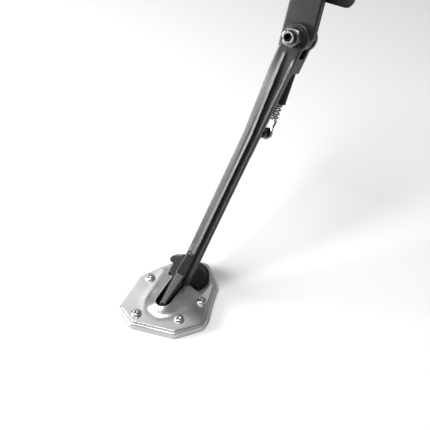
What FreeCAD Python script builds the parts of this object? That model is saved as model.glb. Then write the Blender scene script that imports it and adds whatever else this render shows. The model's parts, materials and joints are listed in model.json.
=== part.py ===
"""Side stand of a motorcycle: forged leg in a fork joint, return springs and a wide foot plate.

Row frame: +X is the motorcycle's front, +Y is outboard, +Z is up. The origin is the middle of
the two mounting holes, on the bracket's mounting face. The stand is deployed, foot flat.
Pivot frame: origin at the middle of the joint, y along the pivot axis, z up along the tongue.
Leg frame: the pivot frame turned by the leg's forward rake, so that z runs up the leg.
Foot frame: origin on the middle of the foot plate's top face, z up, y outboard along the slot.
"""
import FreeCAD, Part
import math
import os
import Sketcher
from FreeCAD import Placement, Rotation, Vector

doc = FreeCAD.newDocument("side_stand")
sheet = doc.addObject("Spreadsheet::Sheet", "Sizes")

SIZES = [
    # alias, value in mm or degrees, meaning
    ("axis_tilt", 25.0, "pivot axis above level, outboard end up, degrees"),
    ("leg_rake", 12.0, "leg ahead of the tongue when deployed, degrees"),
    ("foot_turn", 8.0, "slot of the foot plate, turned from +Y towards the rear, degrees"),
    ("travel", 104.0, "swing of the leg from deployed to folded, degrees"),
    ("overrun", 2.0, "cutting tools run this far past the faces that they cut"),
    ("pivot_out", 46.0, "mounting face to pivot, outboard"),
    ("pivot_drop", 52.0, "mounting holes to pivot, down"),
    ("leg_length", 348.0, "pivot to the foot plate's top face, along the leg"),
    ("foot_shift", 3.0, "foot ahead of the leg's centre plane"),
    ("foot_offset", 5.0, "foot outboard of the joint's middle plane"),
    # bracket
    ("flange_width", 84.0, "mounting flange along X"),
    ("flange_height", 46.0, "mounting flange along Z"),
    ("flange_thick", 9.0, "mounting flange"),
    ("flange_corner", 9.0, "corner radius of the mounting flange"),
    ("hole_spacing", 58.0, "mounting holes, centre to centre"),
    ("hole_radius", 5.3, "mounting holes for M10 bolts"),
    ("tongue_thick", 11.0, "tongue between the fork's ears"),
    ("tongue_radius", 15.0, "round end of the tongue"),
    ("tongue_front", 22.0, "front edge of the tongue from the pivot axis"),
    ("tongue_rear", 17.0, "rear edge of the tongue from the pivot axis"),
    ("stop_drop", 14.6, "lower face of the stop nose, below the pivot axis"),
    ("stop_back", 8.0, "rear end of the stop nose, ahead of the pivot axis"),
    ("tongue_short", 6.0, "upper end of the tongue, short of the flange's top edge"),
    ("web_thick", 12.0, "web between tongue and flange"),
    ("web_start", 28.0, "lower edge of the web, up the tongue"),
    # joint
    ("bush_wall", 2.5, "pressed bush in the tongue"),
    ("bolt_radius", 7.0, "shank of the pivot bolt"),
    ("running_gap", 0.05, "radial clearance of the running fit"),
    ("side_gap", 0.05, "axial clearance beside each thrust washer"),
    ("thrust_thick", 0.8, "thrust washers"),
    ("thrust_radius", 14.0, "thrust washers"),
    ("head_width", 21.0, "pivot bolt head across flats"),
    ("head_thick", 5.5, "pivot bolt head"),
    ("inner_washer_radius", 12.5, "washer under the bolt head"),
    ("inner_washer_thick", 1.5, "washer under the bolt head"),
    ("outer_washer_radius", 13.0, "washer under the nut"),
    ("outer_washer_thick", 2.0, "washer under the nut"),
    ("nut_width", 20.0, "pivot nut across flats"),
    ("nut_height", 10.5, "pivot nut"),
    ("bolt_proud", 6.5, "bolt end beyond the nut"),
    ("bolt_socket_radius", 4.5, "hollow in the bolt's outer end"),
    ("bolt_socket_depth", 9.0, "hollow in the bolt's outer end"),
    # leg
    ("ear_radius", 16.0, "fork ears"),
    ("ear_thick", 7.0, "fork ears"),
    ("yoke_front", 14.0, "yoke ahead of the pivot axis"),
    ("yoke_rear", 12.5, "yoke behind the pivot axis"),
    ("yoke_length", 40.0, "pivot axis to the lower end of the yoke"),
    ("crotch_radius", 24.0, "clear space round the pivot axis between the ears"),
    ("flare_length", 122.0, "pivot axis to the end of the flange's taper"),
    ("blade_width", 20.4, "outer flange of the leg"),
    ("blade_shift", -2.0, "flange centre from the pivot axis"),
    ("blade_thick", 7.0, "outer flange of the leg"),
    ("rib_clear", 19.0, "lower end of the inner rib above the foot plate, along the leg"),
    ("blade_clear", 16.0, "lower end of the flange above the foot plate, along the leg"),
    ("ridge_width", 2.2, "low ridge down the outer face"),
    ("ridge_height", 1.0, "low ridge down the outer face"),
    ("ridge_top", 2.2, "ridge ahead of the pivot axis, at its upper end"),
    ("ridge_low", -4.0, "ridge ahead of the pivot axis, below the taper"),
    ("recess_start", 20.0, "pivot axis to the upper end of the recess behind the ridge"),
    ("recess_full", 52.0, "pivot axis to where the recess is at its full depth"),
    ("recess_depth", 3.2, "recess in the outer face, behind the ridge"),
    ("rear_lip", 2.0, "lip behind the recess"),
    ("inner_rib_width", 8.0, "deep rib on the inner face"),
    ("inner_rib_top", 19.0, "depth of the inner rib below the yoke"),
    ("inner_rib_foot", 11.0, "depth of the inner rib at the foot"),
    ("gusset_width", 13.2, "toe gusset, in the foot's slot"),
    ("gusset_toe_width", 7.4, "gusset's outboard end"),
    ("gusset_top_width", 9.0, "gusset's upper end, on the leg"),
    ("gusset_shift", 1.0, "gusset ahead of the foot's centre"),
    ("gusset_toe", 38.5, "foot centre to the gusset's outboard end"),
    ("gusset_toe_height", 12.0, "gusset's end above the foot plate, along the leg"),
    ("gusset_shoulder", 28.0, "gusset's bend above the foot plate, along the leg"),
    ("gusset_top", 62.0, "gusset's upper end above the foot plate, along the leg"),
    ("gusset_proud", 2.6, "gusset beyond the leg's outer face"),
    ("gusset_root", 8.0, "foot centre to the gusset's end inside the leg, inboard"),
    ("tang_thick", 11.0, "foot tang, along the pivot axis"),
    ("tang_edge", 1.8, "edge radius of the tang"),
    ("tang_start", 10.0, "outboard face of the tang from the joint's middle plane"),
    # foot
    ("pad_half_width", 20.5, "forged foot pad under the dome"),
    ("pad_rear_radius", 26.0, "round inboard end of the foot pad"),
    ("pad_rear_shift", -5.0, "centre of that round end, ahead of the foot centre"),
    ("pad_rear", 53.0, "foot centre to the pad's inboard end"),
    ("pad_front", 39.0, "foot centre to the pad's outboard end"),
    ("pad_thick", 3.5, "forged foot pad"),
    ("pad_rim", 5.0, "raised rim round the pad"),
    ("pad_rim_wall", 4.0, "wall of the raised rim"),
    ("sheet_thick", 2.0, "formed top plate"),
    ("hump_height", 9.5, "dome of the top plate above its flat"),
    ("dome_drop", 2.3, "dome's inside below its outside"),
    ("slot_side_gap", 2.2, "slot clear of the gusset's sides"),
    ("slot_toe_gap", 2.0, "slot clear of the gusset's toe"),
    ("base_thick", 9.0, "base plate"),
    ("base_edge", 1.6, "chamfer round the base plate's top"),
    ("base_margin", 3.6, "base plate beyond the top plate"),
    ("plate_corner", 7.0, "corner radius of both plates"),
    ("screw_radius", 4.0, "foot screws"),
    ("screw_head_radius", 6.6, "foot screws"),
    ("screw_head_height", 3.8, "foot screws"),
    ("screw_socket_width", 4.6, "hexagon in the screw heads"),
    ("screw_socket_depth", 2.2, "hexagon in the screw heads"),
    ("screw_length", 8.5, "foot screws below the head"),
    ("screw_gap", 0.2, "top plate's holes clear of the screws"),
    ("screw_crown", 3.0, "rounding of the screw heads"),
    ("tap_spare", 0.5, "base plate's holes deeper than the screws"),
    # springs
    ("post_radius", 4.5, "spring posts"),
    ("post_shank_radius", 3.5, "pressed shank of each post"),
    ("post_shank_length", 8.0, "pressed shank of each post"),
    ("upper_post_reach", 21.0, "pivot axis to the upper post"),
    ("lower_post_drop", 123.0, "pivot axis to the lower post, down the leg"),
    ("lower_post_shift", -3.5, "lower post from the pivot axis, along the leg's x"),
    ("upper_spring_plane", -32.0, "spring axis from the joint's middle plane at the top"),
    ("lower_spring_plane", -24.0, "spring axis from the joint's middle plane at the bottom"),
    ("post_beyond", 6.5, "post end beyond the spring axis"),
    ("clip_thick", 1.2, "circlip on each post"),
    ("clip_inset", 1.4, "post end beyond its circlip"),
    ("clip_radius", 6.6, "circlip and post washer"),
    ("clip_groove", 0.8, "depth of the circlip groove"),
    ("post_washer_thick", 1.0, "washer on each post"),
    ("outer_coil_radius", 6.7, "outer spring, wire centre"),
    ("outer_wire", 2.6, "outer spring wire diameter"),
    ("outer_pitch", 5.0, "outer spring pitch, stretched"),
    ("inner_coil_radius", 3.3, "inner spring, wire centre"),
    ("inner_wire", 1.8, "inner spring wire diameter"),
    ("inner_pitch", 4.0, "inner spring pitch, stretched"),
    ("lower_hook_length", 16.0, "lower post to the outer spring's first coil"),
    ("upper_hook_length", 24.0, "upper post to the outer spring's last coil"),
    ("inner_coil_recess", 4.0, "inner coils start this far inside the outer coils"),
    ("hook_gap", 0.3, "hook clear of its post"),
    ("hook_spread", 2.4, "each hook to its side of the spring axis plane"),
    ("sleeve_bore_gap", 0.5, "sleeve clear of the outer coils"),
    ("sleeve_wall", 2.0, "rubber sleeve"),
    ("sleeve_start", 38.5, "lower post to the sleeve's lower end"),
    ("sleeve_length", 58.0, "rubber sleeve"),
]
for number, (alias, value, meaning) in enumerate(SIZES, start=1):
    sheet.set(f"A{number}", meaning)
    sheet.set(f"B{number}", str(value))
    sheet.setAlias(f"B{number}", alias)
doc.recompute()

# Outlines in the foot frame: corners of the top plate and its dome, and the screws, in mm.
TOP_PLATE_CORNERS = [(47, 53), (23, 70), (-30, 64), (-53, 39), (-53, 27), (-45, -2),
                     (-39, -31), (35, -31), (49, -6)]
BASE_REAR_CORNERS = [(-14, -60), (12, -60)]
DOME_CORNERS = [(30, -31), (25.5, 34), (17, 48), (-3, 53), (-17, 42), (-30, 20), (-32, -31)]
DOME_TOP_CORNERS = [(12, -31), (11, 32), (7.5, 42), (-1, 44.5), (-8, 41.5), (-11, 30), (-12, -31)]
REAR_OPENING = [(20, -60), (20, -20), (15, -14), (8, -12), (-6, -12), (-6, -8), (-34, -8), (-34, -60)]
RIM_REGION = [(-5, -10), (-40, -10), (-40, -60), (30, -60), (30, -34), (-5, -34)]
# Side outline of the kick tang in the leg frame, x ahead and z from the foot plate along the leg.
TANG_CORNERS = [(5, 45), (12, 47), (24, 39), (26, 35), (24.5, 31), (19, 31), (20, 22), (16, 17),
                (9, 16), (5, 22)]
SCREW_PLACES = [(24, 57), (-27, 44), (38.5, -6), (-38.5, 5)]
X_AXIS, Y_AXIS, Z_AXIS = Vector(1, 0, 0), Vector(0, 1, 0), Vector(0, 0, 1)
NODES = {}


def size(alias):
    return float(sheet.get(alias))


def cells(text):
    """Turn bare aliases in a formula into spreadsheet references."""
    words = {alias for alias, _, _ in SIZES}
    out, word = "", ""
    for letter in text + " ":
        if letter.isalnum() or letter == "_":
            word += letter
            continue
        out += ("Sizes." + word if word in words else word) + letter
        word = ""
    return out.strip()


def cylinder(name, radius, length, start="0"):
    piece = doc.addObject("Part::Cylinder", name)
    piece.setExpression("Radius", cells(radius))
    piece.setExpression("Height", cells(length))
    piece.setExpression("Placement.Base.z", cells(start))
    return piece


def placed_cylinder(name, radius, length, place):
    """A cylinder along z of the frame that it is placed in."""
    piece = doc.addObject("Part::Cylinder", name)
    piece.setExpression("Radius", cells(radius))
    piece.setExpression("Height", cells(length))
    piece.Placement = place
    return piece


def box(name, length, width, height, corner):
    """A block along x, y and z from its lowest corner."""
    piece = doc.addObject("Part::Box", name)
    for side, formula in zip(("Length", "Width", "Height"), (length, width, height)):
        piece.setExpression(side, cells(formula))
    for axis, formula in zip("xyz", corner):
        piece.setExpression(f"Placement.Base.{axis}", cells(formula))
    return piece


def hexagon(name, across_flats, length, start="0"):
    piece = doc.addObject("Part::Prism", name)
    piece.Polygon = 6
    piece.setExpression("Circumradius", cells(f"({across_flats}) / 2 / cos(30)"))
    piece.setExpression("Height", cells(length))
    piece.setExpression("Placement.Base.z", cells(start))
    return piece


def cut(name, base, tool):
    piece = doc.addObject("Part::Cut", name)
    piece.Base, piece.Tool = base, tool
    return piece


def fuse(name, pieces):
    piece = doc.addObject("Part::MultiFuse", name)
    piece.Shapes = pieces
    return piece


def washer(name, outer, inner, thick):
    return cut(name, cylinder(name + "_disc", outer, thick),
               cylinder(name + "_hole", inner, f"({thick}) + 2 * overrun", "-overrun"))


def node(label, piece, placement=None):
    """Register a finished sub-part under its node name and put it in its place."""
    piece.Label = label
    if placement is not None:
        piece.Placement = placement
    NODES[label] = piece
    return piece


def plane(body, role):
    return next(f for f in body.Origin.OriginFeatures if f.Role == role)


def polygon_sketch(body, name, role, corners, offset="0"):
    """A closed outline on one of the body's own planes; every corner is bound to its formulas."""
    sketch = body.newObject("Sketcher::SketchObject", name)
    sketch.AttachmentSupport = (plane(body, role), "")
    sketch.MapMode = "FlatFace"
    sketch.setExpression("AttachmentOffset.Base.z", cells(offset))
    turn = 2 * math.pi / len(corners)
    spots = [Vector(50 * math.cos(turn * i), 50 * math.sin(turn * i), 0) for i in range(len(corners))]
    for index, spot in enumerate(spots):
        sketch.addGeometry(Part.LineSegment(spot, spots[(index + 1) % len(spots)]), False)
    for index in range(len(spots)):
        after = (index + 1) % len(spots)
        sketch.addConstraint(Sketcher.Constraint("Coincident", index, 2, after, 1))
    for index, (along, up) in enumerate(corners):
        for kind, formula in (("DistanceX", along), ("DistanceY", up)):
            start = spots[index].x if kind == "DistanceX" else spots[index].y
            made = sketch.addConstraint(Sketcher.Constraint(kind, -1, 1, index, 1, start))
            sketch.setExpression(f"Constraints[{made}]", cells(str(formula)))
    return sketch


def pad(body, sketch, length, symmetric=False):
    feature = body.newObject("PartDesign::Pad", sketch.Name + "_pad")
    feature.Profile = sketch
    feature.setExpression("Length", cells(length))
    feature.Midplane = symmetric
    return feature


def ruled_loft(body, sections):
    """A loft with straight walls from each section to the next."""
    loft = body.newObject("PartDesign::AdditiveLoft", body.Name + "_loft")
    loft.Profile = sections[0]
    loft.Sections = sections[1:]
    loft.Ruled = True
    return loft


def new_body(name):
    return doc.addObject("PartDesign::Body", name)


def layer(body, name, corners, outer_face, thick):
    """A slab of the leg or tongue: an outline in x and z, padded inboard from its outer face."""
    return pad(body, polygon_sketch(body, name, "XZ_Plane", corners, f"-({outer_face})"), thick)


def cross_cylinder(name, radius, length, start, at_x="0", at_z="0"):
    """A cylinder along y, in the pivot frame or the leg frame."""
    piece = doc.addObject("Part::Cylinder", name)
    piece.Placement = Placement(Vector(), Rotation(X_AXIS, -90))
    piece.setExpression("Radius", cells(radius))
    piece.setExpression("Height", cells(length))
    piece.setExpression("Placement.Base.x", cells(at_x))
    piece.setExpression("Placement.Base.y", cells(start))
    piece.setExpression("Placement.Base.z", cells(at_z))
    return piece


def dress_edges(body, kind, amount, picked):
    """Add a Fillet or a Chamfer to the edges of the body's last feature that the test picks."""
    doc.recompute()
    base = body.Tip
    names = [f"Edge{i}" for i, edge in enumerate(base.Shape.Edges, start=1) if picked(edge)]
    feature = body.newObject("PartDesign::" + kind, f"{body.Name}_{kind.lower()}")
    feature.Base = (base, names)
    feature.setExpression({"Fillet": "Radius", "Chamfer": "Size"}[kind], cells(amount))
    return feature


def runs_along(axis):
    """A test that picks the straight edges parallel to an axis."""
    def picked(edge):
        straight = edge.Curve.TypeId == "Part::GeomLine"
        return straight and abs(edge.tangentAt(edge.FirstParameter).dot(axis)) > 0.999
    return picked


def inset(corners, distance):
    """The outline moved inwards by a distance; its corners run anticlockwise."""
    moved = []
    count = len(corners)
    for index in range(count):
        before, here, after = (Vector(*corners[(index + step) % count]) for step in (-1, 0, 1))
        first, second = (here - before).normalize(), (after - here).normalize()
        first_in, second_in = Vector(-first.y, first.x), Vector(-second.y, second.x)
        moved.append(tuple(here + (first_in + second_in) * (distance / (1 + first_in.dot(second_in)))))
    return [(x, y) for x, y, _ in moved]


# ---------------------------------------------------------------- frames
PIVOT = Placement(Vector(0, size("pivot_out"), -size("pivot_drop")), Rotation(X_AXIS, size("axis_tilt")))
LEG = PIVOT * Placement(Vector(), Rotation(Y_AXIS, -size("leg_rake")))
FOOT_AT = LEG.multVec(Vector(size("foot_shift"), size("foot_offset"), -size("leg_length")))
FOOT = Placement(FOOT_AT, Rotation(Z_AXIS, size("foot_turn")))
ALONG_AXIS = Rotation(X_AXIS, -90)


def on_axis(start):
    """Place a piece that is drawn along its own z on the pivot axis, from a start along it."""
    return PIVOT * Placement(Vector(0, start, 0), ALONG_AXIS)


# Distances along the pivot axis, outboard from the middle of the tongue.
EAR_INNER = "tongue_thick / 2 + thrust_thick + 2 * side_gap"
EAR_OUTER = "(tongue_thick / 2 + thrust_thick + 2 * side_gap + ear_thick)"
ear_inner = size("tongue_thick") / 2 + size("thrust_thick") + 2 * size("side_gap")
ear_outer = ear_inner + size("ear_thick")
bolt_bore = "bolt_radius + running_gap"

# ---------------------------------------------------------------- spring posts, pivot frame
half_travel = math.radians(size("travel") / 2)
post_angle = half_travel - math.radians(size("leg_rake"))
reach = size("upper_post_reach")
UPPER_POST_X, UPPER_POST_Z = reach * math.sin(post_angle), reach * math.cos(post_angle)


def build_bracket():
    """Cast bracket: bolted flange, tongue square to the pivot axis, and a web between them."""
    flange = new_body("bracket_flange")
    half, up = "flange_width / 2", "flange_height / 2"
    outline = [(f"-{half}", f"-{up}"), (half, f"-{up}"), (half, up), (f"-{half}", up)]
    layer(flange, "flange_outline", outline, "flange_thick", "flange_thick")
    dress_edges(flange, "Fillet", "flange_corner", runs_along(Y_AXIS))

    tongue = new_body("bracket_tongue")
    top = "(pivot_drop + flange_height / 2) / cos(axis_tilt) - tongue_short"
    outline = [("-tongue_rear", 0), ("stop_back", 0), ("stop_back", "-stop_drop"),
               ("tongue_front", "-stop_drop"), ("tongue_front", top), ("-tongue_rear", top)]
    layer(tongue, "tongue_outline", outline, "tongue_thick / 2", "tongue_thick")
    tongue.Placement = PIVOT
    rear_face = -size("tongue_thick") / 2
    eye = placed_cylinder("tongue_eye", "tongue_radius", "tongue_thick", on_axis(rear_face))

    web = new_body("bracket_web")
    low = PIVOT.multVec(Vector(0, rear_face, size("web_start")))
    tongue_top = (size("pivot_drop") + size("flange_height") / 2) / math.cos(math.radians(size("axis_tilt")))
    high = PIVOT.multVec(Vector(0, 0, tongue_top - size("tongue_short")))
    outline = [("flange_thick / 2", -size("flange_height") / 2), (low.y, low.z), (high.y, high.z),
               ("flange_thick / 2", high.z)]
    pad(web, polygon_sketch(web, "web_outline", "YZ_Plane", outline), "web_thick", symmetric=True)

    behind_face = box("bracket_trim", "flange_width * 3", "flange_width", "flange_width * 3",
                      ("-flange_width * 1.5", "-flange_width", "-flange_width * 1.5"))
    tools = [behind_face]
    for side, sign in (("front", 1), ("rear", -1)):
        tools.append(cross_cylinder(f"{side}_mount_hole", "hole_radius", "flange_thick + 2 * overrun",
                                    "-overrun", at_x=f"{sign} * hole_spacing / 2"))
    tools.append(placed_cylinder("tongue_bore", "bolt_radius + running_gap + bush_wall",
                                 "tongue_thick + 2 * overrun", on_axis(rear_face - size("overrun"))))
    hole_start = Vector(UPPER_POST_X, rear_face - size("overrun"), UPPER_POST_Z)
    tools.append(placed_cylinder("upper_post_hole", "post_shank_radius", "post_shank_length + overrun",
                                 PIVOT * Placement(hole_start, ALONG_AXIS)))
    solid = fuse("bracket_solid", [flange, tongue, eye, web])
    node("bracket", cut("bracket_part", solid, fuse("bracket_tools", tools)))


def build_joint():
    """Bush, thrust washers, pivot bolt, washers and nut, all drawn along their own z."""
    side, thrust = size("side_gap"), size("thrust_thick")
    half = size("tongue_thick") / 2
    outside = "bolt_radius + running_gap + bush_wall"
    node("pivot_bush", washer("bush", outside, bolt_bore, "tongue_thick + 2 * thrust_thick"),
         on_axis(-half - thrust))
    for label, start in (("outer_thrust_washer", half + side),
                         ("inner_thrust_washer", -half - side - thrust)):
        node(label, washer(label + "_ring", "thrust_radius", outside + " + side_gap", "thrust_thick"),
             on_axis(start))
    washer_thick, head = size("inner_washer_thick"), size("head_thick")
    node("inner_washer", washer("inner_ring", "inner_washer_radius", bolt_bore, "inner_washer_thick"),
         on_axis(-ear_outer - washer_thick))
    node("outer_washer", washer("outer_ring", "outer_washer_radius", bolt_bore, "outer_washer_thick"),
         on_axis(ear_outer))
    node("pivot_nut", cut("nut", hexagon("nut_blank", "nut_width", "nut_height"),
                          cylinder("nut_bore", bolt_bore, "nut_height + 2 * overrun", "-overrun")),
         on_axis(ear_outer + size("outer_washer_thick")))
    grip = ("head_thick + inner_washer_thick + 2 * " + EAR_OUTER
            + " + outer_washer_thick + nut_height + bolt_proud")
    shank = cylinder("bolt_shank", "bolt_radius", grip)
    head_blank = hexagon("bolt_head", "head_width", "head_thick")
    hollow = cylinder("bolt_hollow", "bolt_socket_radius", "bolt_socket_depth + overrun",
                      grip + " - bolt_socket_depth")
    node("pivot_bolt", cut("bolt", fuse("bolt_solid", [head_blank, shank]), hollow),
         on_axis(-ear_outer - washer_thick - head))


def build_leg():
    """Forged leg: fork ears, yoke, cruciform shank and toe gusset, in the leg frame."""
    forging = new_body("leg_forging")
    front, rear, yoke = "yoke_front", "-yoke_rear", "-yoke_length"
    cheek = [(rear, 0), (rear, yoke), (front, yoke), (front, 0)]
    middle = [(rear, "-stop_drop"), (rear, yoke), (front, yoke), (front, "-stop_drop")]
    left, right = "(blade_shift - blade_width / 2)", "(blade_shift + blade_width / 2)"
    low = "-leg_length + blade_clear"
    outer = [(rear, 0), (rear, yoke), (left, "-flare_length"), (left, low),
             (right, low), (right, "-flare_length"), (front, yoke), (front, 0)]
    layer(forging, "outer_flange", outer, EAR_OUTER, "blade_thick")
    layer(forging, "yoke_middle", middle, f"{EAR_INNER} + ear_thick / 2", f"2 * ({EAR_INNER}) + ear_thick")
    layer(forging, "inner_cheek", cheek, f"-({EAR_INNER})", "ear_thick")
    inner_face = f"({EAR_OUTER} - blade_thick)"
    rib = [(inner_face, yoke), (f"{inner_face} - inner_rib_top", yoke),
           (f"{inner_face} - inner_rib_foot", low), (inner_face, "-leg_length + rib_clear")]
    pad(forging, polygon_sketch(forging, "inner_rib", "YZ_Plane", rib, "blade_shift"), "inner_rib_width",
        symmetric=True)
    spine = [("ridge_top", "-recess_start"), ("ridge_low", "-flare_length"), ("ridge_low", low)]
    ridge = [(f"{across} - ridge_width / 2", up) for across, up in spine]
    ridge += [(f"{across} + ridge_width / 2", up) for across, up in reversed(spine)]
    layer(forging, "outer_ridge", ridge, f"{EAR_OUTER} + ridge_height", "ridge_height + blade_thick / 2")

    recess = new_body("outer_recess")
    sections = []
    top_lip, low_lip = "-yoke_rear + rear_lip", left + " + rear_lip"
    share = "(recess_full - recess_start) / (flare_length - recess_start)"
    bend = f"(ridge_top + (ridge_low - ridge_top) * {share})"
    for name, up, ahead, behind, deep in (
            ("top", "-recess_start", "ridge_top", top_lip, "0.01"),
            ("full", "-recess_full", bend, top_lip, "recess_depth"),
            ("taper", "-flare_length", "ridge_low", low_lip, "recess_depth"),
            ("low", "-leg_length", "ridge_low", low_lip, "recess_depth")):
        face, above = f"{EAR_OUTER} - {deep}", EAR_OUTER + " + overrun"
        corners = [(behind, face), (f"{ahead} - ridge_width / 2", face),
                   (f"{ahead} - ridge_width / 2", above), (behind, above)]
        sections.append(polygon_sketch(recess, "recess_" + name, "XY_Plane", corners, up))
    ruled_loft(recess, sections)
    gusset = build_gusset()

    outer_ear = cross_cylinder("outer_ear", "ear_radius", "ear_thick", EAR_INNER)
    inner_ear_disc = cross_cylinder("inner_ear", "ear_radius", "ear_thick", "-" + EAR_OUTER)
    crotch = cross_cylinder("crotch", "crotch_radius", f"2 * ({EAR_INNER})", f"-({EAR_INNER})")
    bore = cross_cylinder("fork_bore", bolt_bore, f"2 * ({EAR_OUTER} + overrun)", f"-{EAR_OUTER} - overrun")
    post_hole = cross_cylinder("lower_post_hole", "post_shank_radius", "post_shank_length + inner_rib_top",
                               f"{lower_seat()} - inner_rib_top", "lower_post_shift", "-lower_post_drop")
    sole = doc.addObject("Part::Box", "sole_trim")
    for side in ("Length", "Width", "Height"):
        sole.setExpression(side, cells("2 * pad_rear"))
    room = size("pad_rear")
    sole.Placement = LEG.inverse() * FOOT * Placement(
        Vector(-room, -room, -2 * room - size("sheet_thick")), Rotation())
    solid = fuse("leg_solid", [cut("recessed_forging", forging, recess), outer_ear, inner_ear_disc, gusset])
    node("leg", cut("leg_part", solid, fuse("leg_tools", [crotch, bore, post_hole, sole])), LEG)

    tang = new_body("tang_solid")
    layer(tang, "tang_side", [(ahead, f"{up_leg} - leg_length") for ahead, up_leg in TANG_CORNERS],
          "tang_start", "tang_thick")
    dress_edges(tang, "Fillet", "tang_edge", runs_along(Y_AXIS))
    tang.Placement = LEG
    node("kick_tang", cut("tang_part", tang, NODES["leg"]))


def build_gusset():
    """The boat-shaped toe gusset: what its side, front and plan outlines have in common."""
    across = LEG.Rotation.inverted().multVec(FOOT.Rotation.multVec(Y_AXIS))
    turn = math.atan2(-across.x, across.y)
    up = LEG.Rotation.inverted().multVec(Z_AXIS)
    slope = (up.y * math.cos(turn) - up.x * math.sin(turn)) / up.z
    buried = size("pad_thick") / 2 - size("sheet_thick")
    face = (ear_outer - size("foot_offset")) / math.cos(turn)
    crest = face + size("gusset_proud")
    root, toe = -size("gusset_root"), size("gusset_toe")
    side = [(root, buried - root * slope), (toe, buried - toe * slope),
            (toe, f"gusset_toe_height - {toe * slope}"), (crest, "gusset_shoulder"),
            (crest, "gusset_top - 2 * gusset_proud"), (face - size("recess_depth"), "gusset_top"),
            (root, "gusset_top")]
    half, top, low = "gusset_width / 2", "gusset_top_width / 2", -toe
    front = [(f"-{half}", low), (half, low), (half, "gusset_shoulder"), (top, "gusset_top"),
             (f"-{top}", "gusset_top"), (f"-{half}", "gusset_shoulder")]
    end = "gusset_toe_width / 2"
    plan = [(f"-{half}", root), (half, root), (half, crest), (end, toe),
            (f"-{end}", toe), (f"-{half}", crest)]
    shapes = []
    for name, role, outline, start, length in (
            ("side", "YZ_Plane", side, "-gusset_width", "2 * gusset_width"),
            ("front", "XZ_Plane", front, "-2 * gusset_toe", "4 * gusset_toe"),
            ("plan", "XY_Plane", plan, "-2 * gusset_toe", "2 * gusset_toe + 2 * gusset_top")):
        body = new_body("gusset_" + name)
        pad(body, polygon_sketch(body, f"gusset_{name}_outline", role, outline, start), length)
        shapes.append(body)
    gusset = doc.addObject("Part::MultiCommon", "toe_gusset")
    gusset.Shapes = shapes
    gusset_foot = LEG.inverse().multVec(FOOT.multVec(Vector(size("gusset_shift"), 0, 0)))
    gusset.Placement = Placement(gusset_foot, Rotation(Z_AXIS, math.degrees(turn)))
    return gusset


def lower_seat():
    """Where the inner rib's face is at the lower post, along the pivot axis."""
    run = size("leg_length") - size("blade_clear") - size("yoke_length")
    fall = (size("inner_rib_top") - size("inner_rib_foot")) / run
    depth = size("inner_rib_top") - fall * (size("lower_post_drop") - size("yoke_length"))
    return ear_outer - size("blade_thick") - depth


def prism(name, corners, height, start):
    """A straight-sided solid over an outline in the foot frame."""
    body = new_body(name)
    pad(body, polygon_sketch(body, name + "_outline", "XY_Plane", corners, start), height)
    return body


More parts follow.
